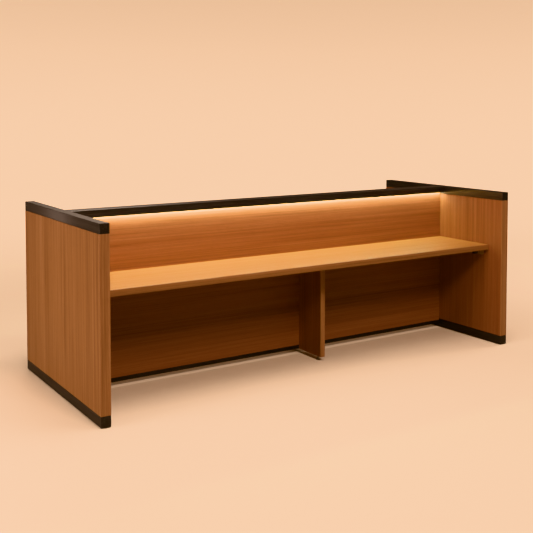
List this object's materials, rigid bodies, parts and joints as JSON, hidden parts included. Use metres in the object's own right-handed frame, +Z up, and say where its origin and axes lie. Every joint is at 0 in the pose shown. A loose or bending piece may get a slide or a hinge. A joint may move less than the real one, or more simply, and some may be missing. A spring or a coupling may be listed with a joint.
{
  "type": "study carrel",
  "caption": "Long back-to-back study carrel: two thick end panels, a centre screen with a lit black rail, and a worktop with open knee space on each side.",
  "frame": {"origin": "on the floor, under the middle of the carrel's plan", "axes": "+X along the desk towards the end with the switch, +Z up, -Y towards the readers on the front side"},
  "size_m": [3.18, 1.3, 1.13],
  "materials": {
    "panel_veneer": "satin lacquered veneer, vertical grain",
    "panel_lipping": "satin lacquered solid edge, vertical grain",
    "screen_veneer": "satin lacquered veneer, horizontal grain",
    "worktop_veneer": "satin lacquered veneer, grain along the desk",
    "worktop_lipping": "satin lacquered solid edge, grain along the desk",
    "black_timber": "black stained open-grained timber, satin",
    "core_timber": "raw softwood",
    "cleat_timber": "planed timber, clear sealed",
    "aluminium": "anodised, satin",
    "zinc_steel": "bright zinc plate",
    "diffuser": "frosted, lit warm white",
    "led_board": "white solder mask",
    "black_plastic": "fine moulded texture"
  },
  "bodies": {
    "carcass": {"left_outer_skin": "panel_veneer", "left_inner_skin": "panel_veneer", "left_core": "core_timber", "left_front_lipping": "panel_lipping", "left_rear_lipping": "panel_lipping", "left_cap_rail": "black_timber", "left_base_rail": "black_timber", "right_outer_skin": "panel_veneer", "right_inner_skin": "panel_veneer", "right_core": "core_timber", "right_front_lipping": "panel_lipping", "right_rear_lipping": "panel_lipping", "right_cap_rail": "black_timber", "right_base_rail": "black_timber", "modesty_panel": "screen_veneer", "screen_panel": "screen_veneer", "plinth_strip": "black_timber", "centre_rail": "black_timber", "front_led_channel": "aluminium", "front_led_board": "led_board", "front_led_diffuser": "diffuser", "front_worktop": "worktop_veneer", "front_worktop_lipping": "worktop_lipping", "front_left_cleat": "cleat_timber", "front_left_ledger": "cleat_timber", "front_right_cleat": "cleat_timber", "front_right_ledger": "cleat_timber", "front_gable": "panel_veneer", "front_gable_lipping": "panel_lipping", "rear_led_channel": "aluminium", "rear_led_board": "led_board", "rear_led_diffuser": "diffuser", "rear_worktop": "worktop_veneer", "rear_worktop_lipping": "worktop_lipping", "rear_left_cleat": "cleat_timber", "rear_left_ledger": "cleat_timber", "rear_right_cleat": "cleat_timber", "rear_right_ledger": "cleat_timber", "rear_gable": "panel_veneer", "rear_gable_lipping": "panel_lipping", "insert_left_front": "zinc_steel", "insert_left_rear": "zinc_steel", "insert_right_front": "zinc_steel", "insert_right_rear": "zinc_steel", "insert_gable_front": "zinc_steel", "insert_gable_rear": "zinc_steel", "driver_case": "black_plastic", "driver_inlet": "black_plastic", "switch_housing": "black_plastic"},
    "left_front_foot": {"foot_left_front": "zinc_steel"},
    "left_rear_foot": {"foot_left_rear": "zinc_steel"},
    "right_front_foot": {"foot_right_front": "zinc_steel"},
    "right_rear_foot": {"foot_right_rear": "zinc_steel"},
    "gable_front_foot": {"foot_gable_front": "zinc_steel"},
    "gable_rear_foot": {"foot_gable_rear": "zinc_steel"},
    "rocker": {"switch_rocker": "black_plastic"}
  },
  "joints": [
    {"name": "left_front_foot_screw", "type": "slide", "parent": "carcass", "child": "left_front_foot", "axis": [0, 0, -1], "range_m": [0, 0.015]},
    {"name": "left_rear_foot_screw", "type": "slide", "parent": "carcass", "child": "left_rear_foot", "axis": [0, 0, -1], "range_m": [0, 0.015]},
    {"name": "right_front_foot_screw", "type": "slide", "parent": "carcass", "child": "right_front_foot", "axis": [0, 0, -1], "range_m": [0, 0.015]},
    {"name": "right_rear_foot_screw", "type": "slide", "parent": "carcass", "child": "right_rear_foot", "axis": [0, 0, -1], "range_m": [0, 0.015]},
    {"name": "gable_front_foot_screw", "type": "slide", "parent": "carcass", "child": "gable_front_foot", "axis": [0, 0, -1], "range_m": [0, 0.015]},
    {"name": "gable_rear_foot_screw", "type": "slide", "parent": "carcass", "child": "gable_rear_foot", "axis": [0, 0, -1], "range_m": [0, 0.015]},
    {"name": "rocker_tilt", "type": "hinge", "parent": "carcass", "child": "rocker", "pos_m": [1.42, -0.501, 0.6807], "axis": [-1, 0, 0], "range_deg": [0, 16]}
  ]
}
